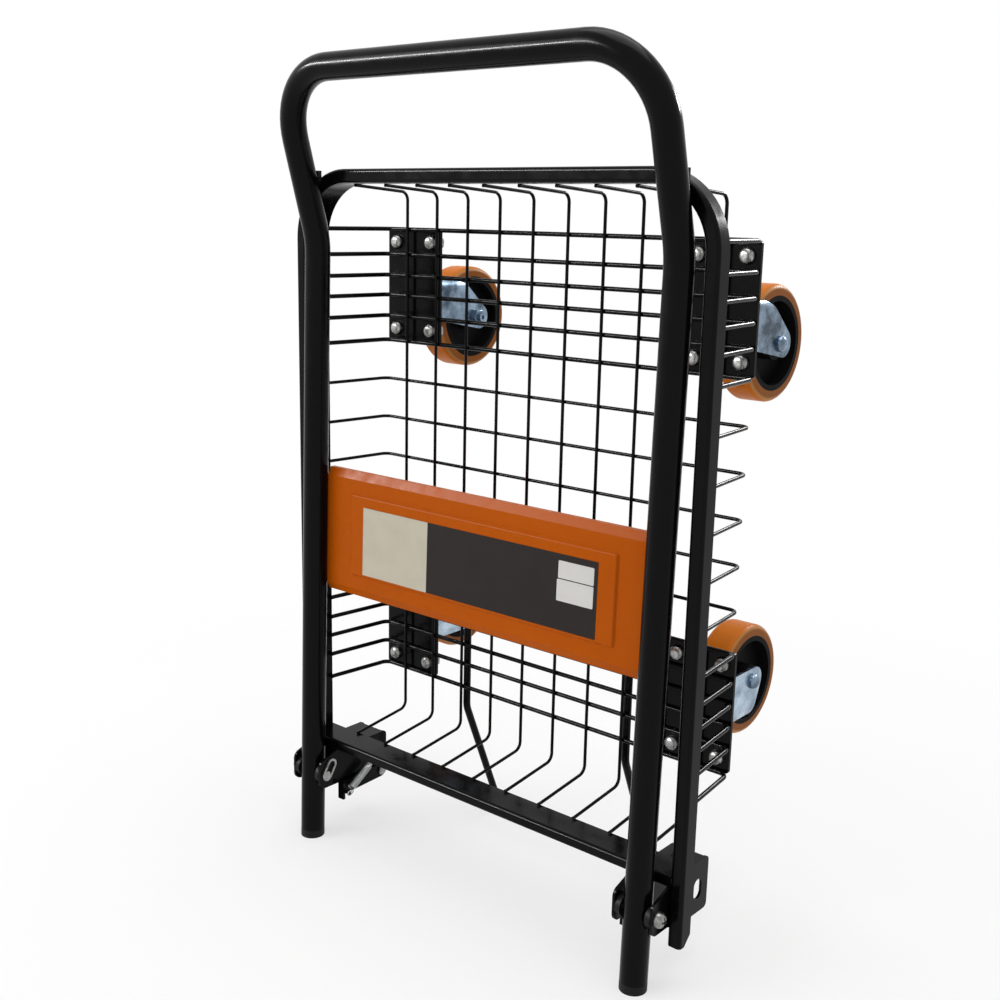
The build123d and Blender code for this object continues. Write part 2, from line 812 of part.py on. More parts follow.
def bracket_outline(outer):
    """Side outline of one bracket plate: the inner one takes the lever pin, the outer one has a slot."""
    with BuildSketch() as outline:
        with BuildLine():
            Polyline(
                (y_bracket_front, nose_low),
                (y_bracket_front, nose_low + bracket_nose_tall),
                (y_rim, rail_low),
                (y_bracket_back, rail_low),
                (y_bracket_back, bracket_low),
                (y_leg, bracket_low),
                (y_rim, nose_low),
                close=True,
            )
        make_face()
        fillet(outline.vertices().group_by(Axis.X)[0], bracket_nose_r)
        fillet(outline.vertices().group_by(Axis.X)[-1], bracket_corner_r)
        with Locations((pivot_y, pivot_height)):
            Circle(pivot_d / 2 + hole_fit, mode=Mode.SUBTRACT)
        if outer:
            with Locations((y_bracket_back - slot_inset, pivot_height - slot_drop)):
                SlotOverall(slot_tall, slot_wide, rotation=90, mode=Mode.SUBTRACT)
        else:
            with Locations((lever_pin_y, lever_pin_z)):
                Circle(lever_pin_d / 2 + seat_fit, mode=Mode.SUBTRACT)
    return outline.sketch


def stepped_plan(sx):
    """Plan of an outer plate, longer than the plate at both ends."""
    y_from = y_bracket_front - bracket_sheet
    y_to = y_bracket_back + bracket_sheet
    channel_side = [(x_wide, y_from), (x_wide, y_step), (x_narrow, y_web), (x_narrow, y_to)]
    outside = [(x + bracket_sheet, y) for x, y in reversed(channel_side)]
    return [(sx * x, y) for x, y in channel_side + outside]


with BuildSketch() as web_outline:
    with BuildLine():
        Polyline((y_web, web_low), (y_web, rail_low), (y_web_end, rail_low), (y_web_end, web_low), close=True)
    make_face()

# Keeper of a pivot bolt: a flat link with a long slot that holds the bolt at its lower end
with BuildSketch() as keeper_outline:
    half_reach = keeper_reach / 2
    keeper_y = pivot_y + half_reach * cos(radians(keeper_turn))
    keeper_z = pivot_height + half_reach * sin(radians(keeper_turn))
    with Locations((keeper_y, keeper_z)):
        SlotCenterToCenter(keeper_reach, keeper_wide, rotation=keeper_turn)
        SlotCenterToCenter(keeper_reach, pivot_d + 2 * seat_fit, rotation=keeper_turn, mode=Mode.SUBTRACT)

# Latch lever: a flat arm with an eye at its back end and a thumb tab across its front
y_lever = pivot_y + lever_front
lever_z = pivot_height - lever_front_drop
lever_top = lever_z + lever_bar / 2
hook_y = y_lever + hook_inset
hook_z = lever_z - hook_drop
post_y = lever_pin_y - post_inset
post_z = lever_pin_z + lever_eye_r + post_gap + post_d / 2

with BuildSketch() as lever_outline:
    with BuildLine():
        Polyline(
            (y_lever, lever_z - lever_bar / 2),
            (y_lever, lever_top),
            (lever_pin_y, lever_pin_z + lever_eye_r),
            (lever_pin_y, lever_pin_z - lever_eye_r),
            close=True,
        )
    make_face()
    with Locations((lever_pin_y, lever_pin_z)):
        Circle(lever_eye_r)
        Circle(lever_pin_d / 2 + run_fit, mode=Mode.SUBTRACT)


def arc_middle(start, tangent, end):
    """Middle of the arc that leaves start along tangent and reaches end."""
    chord = end - start
    along = chord.normalized()
    aside = tangent - along * tangent.dot(along)
    half_turn = tangent.get_angle(chord)
    return (start + end) / 2 + aside.normalized() * (chord.length / 2) * tan(radians(half_turn / 2))


def biarc(start, start_way, end, end_way):
    """Two arcs, smooth at their joint, from start to end along the given directions."""
    chord = end - start
    ways = start_way + end_way
    bend = 2 * (1 - start_way.dot(end_way))
    reach = chord.dot(ways)
    step = (sqrt(reach**2 + bend * chord.dot(chord)) - reach) / bend
    joint = (start + start_way * step + end - end_way * step) / 2
    joint_way = (end - end_way * step - start - start_way * step).normalized()
    ThreePointArc(start, arc_middle(start, start_way, joint), joint)
    ThreePointArc(joint, arc_middle(joint, joint_way, end), end)


def latch_spring(x, inward):
    """Extension spring from the lever's hook to the bracket's post, with straight ends."""
    hook = Vector(x, hook_y, hook_z)
    run = Vector(x, post_y, post_z) - hook
    along = run.normalized()
    across = Vector(inward, 0, 0)
    up = along.cross(across)
    coil_r = (spring_d - spring_wire_d) / 2
    pitch = spring_wire_d + spring_gap
    first = post_d / 2 + seat_fit
    last = run.length - first
    turns = int((last - first - 2 * spring_end) / pitch)
    coil_start = (run.length - turns * pitch) / 2
    phase = atan(spring_bend_r / coil_r)
    sweep_angle = 2 * pi * turns - 2 * phase
    rise = turns * pitch / sweep_angle

    def on_coil(share):
        angle = phase + share * sweep_angle
        ring = across * cos(angle) + up * sin(angle)
        return hook + along * (coil_start + share * turns * pitch) + ring * coil_r

    def coil_way(share):
        angle = phase + share * sweep_angle
        ring = up * cos(angle) - across * sin(angle)
        return (ring * coil_r + along * rise).normalized()

    quarters = 4 * turns
    shares = [k / quarters for k in range(quarters + 1)]
    lead_in = on_coil(0) - (coil_way(0) + along) * spring_bend_r
    lead_out = on_coil(1) + (coil_way(1) + along) * spring_bend_r
    with BuildPart() as spring:
        with BuildLine() as path:
            Line(lead_in - along * (lead_in - hook).dot(along) + along * first, lead_in)
            biarc(lead_in, along, on_coil(0), coil_way(0))
            for share, onward in zip(shares, shares[1:]):
                biarc(on_coil(share), coil_way(share), on_coil(onward), coil_way(onward))
            biarc(on_coil(1), coil_way(1), lead_out, along)
            Line(lead_out, lead_out + along * (last - (lead_out - hook).dot(along)))
        wire = path.wire()
        with BuildSketch(Plane(wire @ 0, z_dir=wire % 0)):
            Circle(spring_wire_d / 2)
        sweep(path=wire)
    per_turn = 40
    count = per_turn * (turns + 2)
    points = [wire @ (k / count) for k in range(count + 1)]
    apart = per_turn // 2
    nearest = min((p - q).length for i, p in enumerate(points) for q in points[i + apart :])
    swept = spring.part.volume / (wire.length * pi * spring_wire_d**2 / 4)
    print("spring of", turns, "turns: least gap to itself", round(nearest - spring_wire_d, 2), "mm,")
    print("its volume over section times length is", round(swept, 4))
    return spring.part


for name, sx in (("left", -1), ("right", 1)):
    x_in = sx * (half_span - room_half)
    outer_slab = slab(bracket_outline(True), sx * (x_narrow - bracket_sheet), sx * (x_wide + 2 * bracket_sheet))
    with BuildPart() as outer_plate:
        add(outer_slab)
        with BuildSketch():
            with BuildLine():
                Polyline(*stepped_plan(sx), close=True)
            make_face()
        extrude(amount=rail_top, mode=Mode.INTERSECT)
    inner_plate = slab(bracket_outline(False), x_in - sx * bracket_sheet, x_in)
    web = slab(web_outline.sketch, x_in, sx * x_narrow)
    with BuildPart() as bracket:
        add(outer_plate.part)
        add(inner_plate)
        add(web)
    write(bracket, f"hinge_bracket_{name}")

    x_lever = sx * lever_x
    x_lever_face = x_lever - sx * lever_sheet
    arm = slab(lever_outline.sketch, x_lever_face, x_lever)
    hook_post = round_bar(x_lever_face, x_lever_face - sx * post_rise, hook_y, hook_z, post_d / 2)
    with BuildPart() as lever:
        add(arm)
        add(hook_post)
        with BuildSketch(Plane.XY.offset(lever_top - lever_tab_tall)):
            with Locations(((x_lever + x_lever_face - sx * lever_tab_wide) / 2, y_lever + lever_sheet / 2)):
                Rectangle(lever_sheet + lever_tab_wide, lever_sheet)
        extrude(amount=lever_tab_tall)
    write(lever, f"latch_lever_{name}")

    x_spring = x_lever_face - sx * (move_gap + spring_d / 2)
    write_group([latch_spring(x_spring, -sx)], f"latch_spring_{name}")

# Pivot bolts, keepers and spacers, the lever pins, the springs' posts and the handle's stops
pivot_bolts, pivot_keepers, pivot_spacers, lever_pins, spring_posts = [], [], [], [], []
for sx in (-1, 1):
    x_room = sx * (half_span - room_half)
    x_in_face = x_room - sx * bracket_sheet
    x_out_face = sx * (half_span + room_half + bracket_sheet)
    x_keeper = x_in_face - sx * keeper_thick
    pivot = (pivot_y, pivot_height)
    lever_pivot = (lever_pin_y, lever_pin_z)
    with BuildPart() as pivot_bolt:
        add(dome_bolt(x_out_face, x_keeper, *pivot, pivot_d / 2, pivot_head_d, pivot_head_tall))
        with BuildSketch(side(x_out_face + sx * pivot_head_tall)):
            with Locations(pivot):
                Rectangle(pivot_recess_wide, pivot_recess_long)
                Rectangle(pivot_recess_long, pivot_recess_wide)
        extrude(amount=-sx * pivot_recess, mode=Mode.SUBTRACT)
    pivot_bolts.append(pivot_bolt.part)
    pivot_keepers.append(slab(keeper_outline.sketch, x_keeper, x_in_face))
    for end in (-1, 1):
        x_tube = sx * half_span + end * (tube_r + move_gap)
        x_plate = sx * half_span + end * (room_half - move_gap)
        pivot_spacers.append(round_bar(x_tube, x_plate, *pivot, spacer_d / 2, pivot_d / 2 + run_fit))
    x_pin_head = x_in_face - sx * (lever_sheet + 2 * move_gap)
    pin_parts = [
        round_bar(x_pin_head, x_room, *lever_pivot, lever_pin_d / 2),
        round_bar(x_pin_head - sx * lever_pin_head, x_pin_head, *lever_pivot, lever_pin_head_d / 2),
    ]
    with BuildPart() as lever_pin:
        add(pin_parts)
    lever_pins.append(lever_pin.part)
    x_post_end = sx * lever_x - sx * (lever_sheet + post_rise)
    spring_posts.append(round_bar(x_in_face, x_post_end, post_y, post_z, post_d / 2))
write_group(pivot_bolts, "pivot_bolts")
write_group(pivot_keepers, "pivot_keepers")
write_group(pivot_spacers, "pivot_spacers")
write_group(lever_pins, "lever_pins")
write_group(spring_posts, "spring_posts")

y_stop = y_web_end - stop_deep
stop_low = pivot_height + tube_r + move_gap
with BuildSketch() as stop_outline:
    with BuildLine():
        Polyline((y_stop, stop_low), (y_stop, web_low), (y_web_end, web_low), (y_web_end, stop_low), close=True)
    make_face()
stops = [slab(stop_outline.sketch, sx * half_span - tube_r, sx * half_span + tube_r) for sx in (-1, 1)]
write_group(stops, "handle_stops")
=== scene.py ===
# %% [markdown]
# # A folding basket dolly
# This file dresses the dolly's finished CAD model in Blender: it sets the camera, the studio and the
# finishes, and models the small pieces that the CAD keeps plain. The dolly stands folded on its
# handle's feet. X runs across it, Y from the handle back to the wheels, and Z is up, in metres.

# %% Load the frame
import json
from math import cos, pi, radians, sin, tan

import bpy
from mathutils import Matrix, Vector


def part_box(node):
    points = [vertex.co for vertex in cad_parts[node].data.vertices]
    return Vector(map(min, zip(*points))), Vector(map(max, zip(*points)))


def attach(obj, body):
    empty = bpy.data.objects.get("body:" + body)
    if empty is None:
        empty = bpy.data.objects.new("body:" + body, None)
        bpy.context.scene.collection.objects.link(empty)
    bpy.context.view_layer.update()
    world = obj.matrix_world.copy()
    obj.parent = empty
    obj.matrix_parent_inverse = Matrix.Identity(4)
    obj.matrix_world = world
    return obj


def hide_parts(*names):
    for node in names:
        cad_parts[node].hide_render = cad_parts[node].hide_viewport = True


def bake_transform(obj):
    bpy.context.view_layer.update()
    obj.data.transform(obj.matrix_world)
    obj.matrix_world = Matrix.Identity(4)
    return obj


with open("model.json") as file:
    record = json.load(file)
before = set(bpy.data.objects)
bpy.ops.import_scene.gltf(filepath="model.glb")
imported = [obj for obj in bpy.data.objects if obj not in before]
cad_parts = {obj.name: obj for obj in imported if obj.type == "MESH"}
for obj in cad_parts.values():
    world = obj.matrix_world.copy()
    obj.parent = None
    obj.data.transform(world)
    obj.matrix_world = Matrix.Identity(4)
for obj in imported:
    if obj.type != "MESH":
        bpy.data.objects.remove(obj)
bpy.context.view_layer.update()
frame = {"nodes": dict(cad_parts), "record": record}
nodes = frame["nodes"]
MM = 0.001


# %% [markdown]
# ## Camera
# The picture was taken from the dolly's front right, a little above its middle, with a normal lens.
# The camera's place, turn and focal length were worked out from the straight edges of the tube, the rim
# and the wires, so they are written here as plain numbers.

# %% Camera
PICTURE = 1000
FOCAL_PX = 1265.998
AXIS_PX = (490.336, 496.291)
SENSOR = 36.0
CAMERA_MM = (756.862, -956.81, 668.795)
AZIMUTH, ELEVATION, ROLL = radians(40.397), radians(12.671), radians(1.099)

back = Vector((sin(AZIMUTH) * cos(ELEVATION), -cos(AZIMUTH) * cos(ELEVATION), sin(ELEVATION)))
right = Vector((cos(AZIMUTH), sin(AZIMUTH), 0))
up = back.cross(right)
rolled_right = right * cos(ROLL) + up * sin(ROLL)
rolled_up = up * cos(ROLL) - right * sin(ROLL)

camera_data = bpy.data.cameras.new("camera")
camera_data.sensor_width = SENSOR
camera_data.lens = FOCAL_PX / PICTURE * SENSOR
camera_data.shift_x = 0.5 - AXIS_PX[0] / PICTURE
camera_data.shift_y = AXIS_PX[1] / PICTURE - 0.5
camera_data.clip_end = 100
camera = bpy.data.objects.new("camera", camera_data)
turn = Matrix((rolled_right, rolled_up, back)).transposed().to_4x4()
camera.matrix_world = Matrix.Translation(Vector(CAMERA_MM) * MM) @ turn
bpy.context.collection.objects.link(camera)
bpy.context.scene.camera = camera
bpy.context.scene.view_settings.view_transform = "Standard"
print("lens", round(camera_data.lens, 2), "mm")


# %% [markdown]
# ## Colours and nodes
# Every finish below is a small node tree. One function turns the hex colours that people read off a
# screen into the linear values that the shaders work with, and one adds a node with its settings.
# A Mix node has sockets for numbers, vectors and colours under the same names, so those for colours
# are picked by their place in its list.

# %% Helpers for materials
MIX_FACTOR, MIX_FIRST, MIX_SECOND, MIX_RESULT = 0, 6, 7, 2


def linear(code):
    """Linear colour of an sRGB hex value such as #B5500F."""
    values = [int(code[i:i + 2], 16) / 255 for i in (1, 3, 5)]
    return tuple(v / 12.92 if v <= 0.04045 else ((v + 0.055) / 1.055) ** 2.4 for v in values) + (1.0,)


def add_node(tree, kind, inputs=None, **settings):
    """Add a node, set its own settings, and fill or link each input that is named."""
    made = tree.nodes.new(kind)
    for key, value in settings.items():
        setattr(made, key, value)
    for key, value in (inputs or {}).items():
        if isinstance(value, bpy.types.NodeSocket):
            tree.links.new(value, made.inputs[key])
        else:
            made.inputs[key].default_value = value
    return made


def new_material(name):
    """A node material with an empty tree, and that tree."""
    material = bpy.data.materials.new(name)
    material.use_nodes = True
    material.node_tree.nodes.clear()
    return material, material.node_tree


def per_size(mm):
    """Noise scale whose features are about this many millimetres across."""
    return 1 / (mm * MM)


# %% [markdown]
# ## Studio
# The dolly stands on a pale floor in front of a white background. The world is white where the camera,
# a reflection or glass sees it, and gives a softer light to everything else. The floor fades to the same
# white a short way from the dolly, so that no horizon shows, and keeps the shadow near the feet.

# %% World
WORLD_LIGHT = 0.62
WHITE = linear("#FFFFFF")


def seen_directly(tree):
    """Socket that is 1 for what the camera, a reflection or glass sees, and 0 for scattered light."""
    rays = add_node(tree, "ShaderNodeLightPath").outputs
    seen = add_node(tree, "ShaderNodeMath", {0: rays["Is Camera Ray"], 1: rays["Is Glossy Ray"]},
                    operation="MAXIMUM")
    seen = add_node(tree, "ShaderNodeMath", {0: seen.outputs[0], 1: rays["Is Transmission Ray"]},
                    operation="MAXIMUM")
    return seen.outputs[0]


world = bpy.data.worlds.new("studio")
bpy.context.scene.world = world
world.use_nodes = True
tree = world.node_tree
tree.nodes.clear()
soft = add_node(tree, "ShaderNodeBackground", {"Color": WHITE, "Strength": WORLD_LIGHT})
white = add_node(tree, "ShaderNodeBackground", {"Color": WHITE, "Strength": 1.0})
both = add_node(tree, "ShaderNodeMixShader",
                {0: seen_directly(tree), 1: soft.outputs[0], 2: white.outputs[0]})
add_node(tree, "ShaderNodeOutputWorld", {"Surface": both.outputs[0]})
print("world light", WORLD_LIGHT)

# %% Floor
FLOOR_HALF = 12.0
FADE_FROM, FADE_TO = 0.45, 1.1
NEAR_WHITE = 0.6
bpy.ops.object.select_all(action="DESELECT")
bpy.ops.mesh.primitive_plane_add(size=2 * FLOOR_HALF)
floor = bpy.context.object
floor.name = "floor"
material, tree = new_material("pale floor")
place = add_node(tree, "ShaderNodeTexCoord")
away = add_node(tree, "ShaderNodeVectorMath", {0: place.outputs["Object"]}, operation="LENGTH")
fade = add_node(tree, "ShaderNodeMapRange", {"Value": away.outputs["Value"], "From Min": FADE_FROM,
                                             "From Max": FADE_TO, "To Min": NEAR_WHITE})
matt = add_node(tree, "ShaderNodeBsdfDiffuse", {"Color": linear("#F4F4F4")})
glow = add_node(tree, "ShaderNodeEmission", {"Color": WHITE, "Strength": 1.0})
mask = add_node(tree, "ShaderNodeMath", {0: fade.outputs[0], 1: seen_directly(tree)}, operation="MULTIPLY")
mixed = add_node(tree, "ShaderNodeMixShader", {0: mask.outputs[0], 1: matt.outputs[0], 2: glow.outputs[0]})
add_node(tree, "ShaderNodeOutputMaterial", {"Surface": mixed.outputs[0]})
floor.data.materials.append(material)
print("floor fades to white from", FADE_FROM, "to", FADE_TO, "m")

# %% [markdown]
# The lamps are two soft boxes for even light, and two strips that only reflections see. Glossy paint shows
# such a lamp as a thin bright line: the strip to the left draws the line along the handle's top bar, and
# the one behind draws those along the wires' side runs and round the rim's corner. Hidden from matt
# surfaces, they leave the level of the light alone.

# %% Lamps
def soft_box(name, place_m, aim_m, wide, tall, watts):
    """A rectangular lamp at one point, facing another."""
    lamp = bpy.data.lights.new(name, "AREA")
    lamp.shape = "RECTANGLE"
    lamp.size, lamp.size_y = wide, tall
    lamp.energy = watts
    holder = bpy.data.objects.new(name, lamp)
    holder.location = place_m
    holder.rotation_euler = (Vector(aim_m) - Vector(place_m)).to_track_quat("-Z", "Y").to_euler()
    bpy.context.collection.objects.link(holder)
    return holder


MIDDLE = (0.0, 0.0, 0.4)
TOP_BAR = (0.0, -0.13, 0.8)
SIDE_WIRES = (0.24, 0.06, 0.45)
soft_box("overhead box", (0.1, 0.1, 2.6), MIDDLE, wide=1.8, tall=1.8, watts=30)
soft_box("left box", (-1.6, -1.9, 1.6), MIDDLE, wide=1.2, tall=1.2, watts=18)
shine_lamps = [
    soft_box("left strip", (-1.45, -1.65, 1.36), TOP_BAR, wide=1.6, tall=0.06, watts=80),
    soft_box("back strip", (0.5, 1.7, 1.3), SIDE_WIRES, wide=0.75, tall=0.22, watts=24),
]
for lamp in shine_lamps:
    lamp.visible_diffuse = False


# %% [markdown]
# ## Finishes
# Stove enamel is a baked paint: smooth and deep, with a faint orange-peel ripple that breaks up its
# reflections. One shader covers both colours of it. The ripple on the real one is under a millimetre, and
# is drawn a little coarser so that it shows.
#
# A noise texture seldom leaves the middle of its range, so where one drives the roughness here and below,
# that middle part is stretched over the whole spread.

# %% Stove enamels
NOISE_LOW, NOISE_HIGH = 0.3, 0.7
TONE_MM, SMEAR_MM, PEEL_MM = 60, 14, 2.5


def stove_enamel(name, colour, deep, rough, gloss):
    """Baked paint on steel: two close tones, uneven gloss and an orange-peel ripple."""
    material, tree = new_material(name)
    place = add_node(tree, "ShaderNodeTexCoord").outputs["Object"]
    cloud = add_node(tree, "ShaderNodeTexNoise", {"Vector": place, "Scale": per_size(TONE_MM),
                                                  "Detail": 3.0})
    tone = add_node(tree, "ShaderNodeMix", {MIX_FACTOR: cloud.outputs["Fac"], MIX_FIRST: linear(deep),
                                            MIX_SECOND: linear(colour)}, data_type="RGBA")
    smear = add_node(tree, "ShaderNodeTexNoise", {"Vector": place, "Scale": per_size(SMEAR_MM),
                                                  "Detail": 4.0})
    shine = add_node(tree, "ShaderNodeMapRange", {"Value": smear.outputs["Fac"], "From Min": NOISE_LOW,
                                                  "From Max": NOISE_HIGH, "To Min": rough * 0.7,
                                                  "To Max": rough * 1.3})
    peel = add_node(tree, "ShaderNodeTexNoise", {"Vector": place, "Scale": per_size(PEEL_MM),
                                                 "Detail": 1.0})
    ripple = add_node(tree, "ShaderNodeBump", {"Height": peel.outputs["Fac"], "Strength": 0.015,
                                               "Distance": 0.4 * MM})
    paint = add_node(tree, "ShaderNodeBsdfPrincipled",
                     {"Base Color": tone.outputs[MIX_RESULT], "Roughness": shine.outputs[0],
                      "Specular IOR Level": gloss, "Normal": ripple.outputs[0]})
    add_node(tree, "ShaderNodeOutputMaterial", {"Surface": paint.outputs[0]})
    return material


black_enamel = stove_enamel("black stove enamel", "#080809", "#060607", rough=0.19, gloss=0.085)
orange_enamel = stove_enamel("orange stove enamel", "#BB5809", "#AF4F06", rough=0.30, gloss=0.04)
print("enamels", black_enamel.name, orange_enamel.name)

# %% [markdown]
# The casters and bolts are zinc plated: a bright metal, slightly cloudy from the bath, with fine streaks
# where the steel was rolled and pressed. The pressed caster parts came out of a blue passivating bath,
# which leaves them cold and bluish, while the turned bolts are a neutral silver. The streaks are noise
# stretched along Y, drawn coarser than the real ones so that they show.

# %% Zinc plate and spring steel
STREAK_MM = 1.2
STREAK_SHAPE = (1.0, 0.12, 1.0)
CLOUD_LOW, CLOUD_HIGH = 0.35, 0.65


def plated_steel(name, colour, dark, rough, cloud_mm):
    """Plated steel: cloudy colour and gloss, with fine drawn streaks."""
    material, tree = new_material(name)
    place = add_node(tree, "ShaderNodeTexCoord").outputs["Object"]
    cloud = add_node(tree, "ShaderNodeTexNoise", {"Vector": place, "Scale": per_size(cloud_mm),
                                                  "Detail": 5.0, "Roughness": 0.6})
    patch = add_node(tree, "ShaderNodeMapRange", {"Value": cloud.outputs["Fac"], "From Min": CLOUD_LOW,
                                                  "From Max": CLOUD_HIGH})
    tone = add_node(tree, "ShaderNodeMix", {MIX_FACTOR: patch.outputs[0], MIX_FIRST: linear(dark),
                                            MIX_SECOND: linear(colour)}, data_type="RGBA")
    drawn = add_node(tree, "ShaderNodeMapping", {"Vector": place, "Scale": STREAK_SHAPE})
    streak = add_node(tree, "ShaderNodeTexNoise", {"Vector": drawn.outputs[0], "Scale": per_size(STREAK_MM),
                                                   "Detail": 2.0})
    shine = add_node(tree, "ShaderNodeMapRange", {"Value": streak.outputs["Fac"], "From Min": NOISE_LOW,
                                                  "From Max": NOISE_HIGH, "To Min": rough * 0.75,
                                                  "To Max": rough * 1.3})
    ripple = add_node(tree, "ShaderNodeBump", {"Height": streak.outputs["Fac"], "Strength": 0.08,
                                               "Distance": 0.3 * MM})
    metal = add_node(tree, "ShaderNodeBsdfPrincipled",
                     {"Base Color": tone.outputs[MIX_RESULT], "Metallic": 1.0,
                      "Roughness": shine.outputs[0], "Normal": ripple.outputs[0]})
    add_node(tree, "ShaderNodeOutputMaterial", {"Surface": metal.outputs[0]})
    return material


# One zinc in two copies: the lighter one, on the rigid forks, is painted light, and the blue one is set
# darker, partly painted shade, over the zinc's own bluish tone
blue_zinc = plated_steel("blue passivated zinc", "#8DA0B3", "#3B4854", rough=0.26, cloud_mm=20)
lit_zinc = plated_steel("passivated zinc with painted light", "#BACBDA", "#7A8C9E", rough=0.26, cloud_mm=20)
silver_zinc = plated_steel("silver zinc plate", "#ADADAB", "#787877", rough=0.32, cloud_mm=6)
spring_steel = plated_steel("drawn spring steel", "#C9CACB", "#A3A5A7", rough=0.20, cloud_mm=4)
print("plated", blue_zinc.name, lit_zinc.name, silver_zinc.name, spring_steel.name)

# %% [markdown]
# The treads are cast polyurethane, a dense, faintly waxy plastic. The running face is a clean amber orange
# where the mould was polished. The flanks are painted browner, a painted shade, and a thin pale line round
# the corner between the two is a painted highlight. The wheel turns about X, so the distance from the
# wheel's middle along X and the distance from its axle tell the shader which is which.

# %% Which part of a tread a point is on
tread_low, tread_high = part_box("wheel_tread_upper_right")
WHEEL_X = (tread_low.x + tread_high.x) / 2
WHEEL_HALF = (tread_high.x - tread_low.x) / 2
WHEEL_R = (tread_high.z - tread_low.z) / 2
polyurethane, tree = new_material("cast polyurethane")
place = add_node(tree, "ShaderNodeTexCoord").outputs["Object"]
axes = add_node(tree, "ShaderNodeSeparateXYZ", {0: place})
side = add_node(tree, "ShaderNodeMath", {0: axes.outputs["X"]}, operation="ABSOLUTE")
off = add_node(tree, "ShaderNodeMath", {0: side.outputs[0], 1: WHEEL_X}, operation="SUBTRACT")
off = add_node(tree, "ShaderNodeMath", {0: off.outputs[0]}, operation="ABSOLUTE")
reach = None
for row in ("upper", "lower"):
    low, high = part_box(f"wheel_tread_{row}_right")
    axle = (low + high) / 2
    flat = add_node(tree, "ShaderNodeCombineXYZ", {"Y": axes.outputs["Y"], "Z": axes.outputs["Z"]})
    away = add_node(tree, "ShaderNodeVectorMath", {0: flat.outputs[0], 1: (0.0, axle.y, axle.z)},
                    operation="DISTANCE")
    reach = away.outputs["Value"] if reach is None else add_node(
        tree, "ShaderNodeMath", {0: reach, 1: away.outputs["Value"]}, operation="MINIMUM").outputs[0]
print("wheel middle", round(WHEEL_X / MM, 1), "mm, half width", round(WHEEL_HALF / MM, 1), "mm")

# %% Cast polyurethane treads
# Ranges for the painted shade on the flanks (FLANK) and for the painted highlight line at the corner (EDGE,
# RISE)
FLANK_FROM, FLANK_TO = WHEEL_R - 3.5 * MM, WHEEL_R - 1.0 * MM
EDGE_FROM, EDGE_TO = WHEEL_HALF - 2.5 * MM, WHEEL_HALF - 0.8 * MM
RISE_FROM, RISE_TO = WHEEL_R - 5.0 * MM, WHEEL_R - 2.0 * MM
CAST_CLOUD_MM, CAST_SKIN_MM = 25, 2.5
CAST_SMOOTH, CAST_DULL = 0.3, 0.42
# Painted shade mask: 1 on the flanks, 0 on the running face
flank_shade = add_node(tree, "ShaderNodeMapRange", {"Value": reach, "From Min": FLANK_FROM, "From Max": FLANK_TO,
                                              "To Min": 1.0, "To Max": 0.0})
# Painted highlight mask: the thin corner between flank and running face
outer = add_node(tree, "ShaderNodeMapRange", {"Value": off.outputs[0], "From Min": EDGE_FROM,
                                              "From Max": EDGE_TO})
top = add_node(tree, "ShaderNodeMapRange", {"Value": reach, "From Min": RISE_FROM, "From Max": RISE_TO})
painted_corner_highlight = add_node(tree, "ShaderNodeMath", {0: outer.outputs[0], 1: top.outputs[0]}, operation="MULTIPLY")
cloud = add_node(tree, "ShaderNodeTexNoise", {"Vector": place, "Scale": per_size(CAST_CLOUD_MM),
                                              "Detail": 4.0})
amber = add_node(tree, "ShaderNodeMix", {MIX_FACTOR: cloud.outputs["Fac"], MIX_FIRST: linear("#BE6410"),
                                         MIX_SECOND: linear("#CE7318")}, data_type="RGBA")
# Painted shade darkens the flanks to brown, then a painted highlight lightens the corner line
painted_flank_shade = add_node(tree, "ShaderNodeMix", {MIX_FACTOR: flank_shade.outputs[0], MIX_FIRST: amber.outputs[MIX_RESULT],
                                         MIX_SECOND: linear("#8A4F1C")}, data_type="RGBA")
tone = add_node(tree, "ShaderNodeMix", {MIX_FACTOR: painted_corner_highlight.outputs[0], MIX_FIRST: painted_flank_shade.outputs[MIX_RESULT],
                                        MIX_SECOND: linear("#BE8A54")}, data_type="RGBA")
skin = add_node(tree, "ShaderNodeTexNoise", {"Vector": place, "Scale": per_size(CAST_SKIN_MM),
                                             "Detail": 2.0})
shine = add_node(tree, "ShaderNodeMapRange", {"Value": skin.outputs["Fac"], "From Min": NOISE_LOW,
                                              "From Max": NOISE_HIGH, "To Min": CAST_SMOOTH,
                                              "To Max": CAST_DULL})
waxy = add_node(tree, "ShaderNodeBump", {"Height": skin.outputs["Fac"], "Strength": 0.06,
                                         "Distance": 0.5 * MM})
cast = add_node(tree, "ShaderNodeBsdfPrincipled",
                {"Base Color": tone.outputs[MIX_RESULT], "Roughness": shine.outputs[0],
                 "Specular IOR Level": 0.06, "Normal": waxy.outputs[0]})
add_node(tree, "ShaderNodeOutputMaterial", {"Surface": cast.outputs[0]})
print("tread radius", round(WHEEL_R / MM, 1), "mm")

# %% [markdown]
# The hubs, plugs and spacers are moulded black plastic with a fine spark-eroded grain, the pads and stops
# are soft black rubber, and the label is a smooth film with paper patches. All of these are a close pair of
# tones under a fine grain, so one function makes them.

# %% Plastics, rubber and paper
MOULD_CLOUD_MM = 22


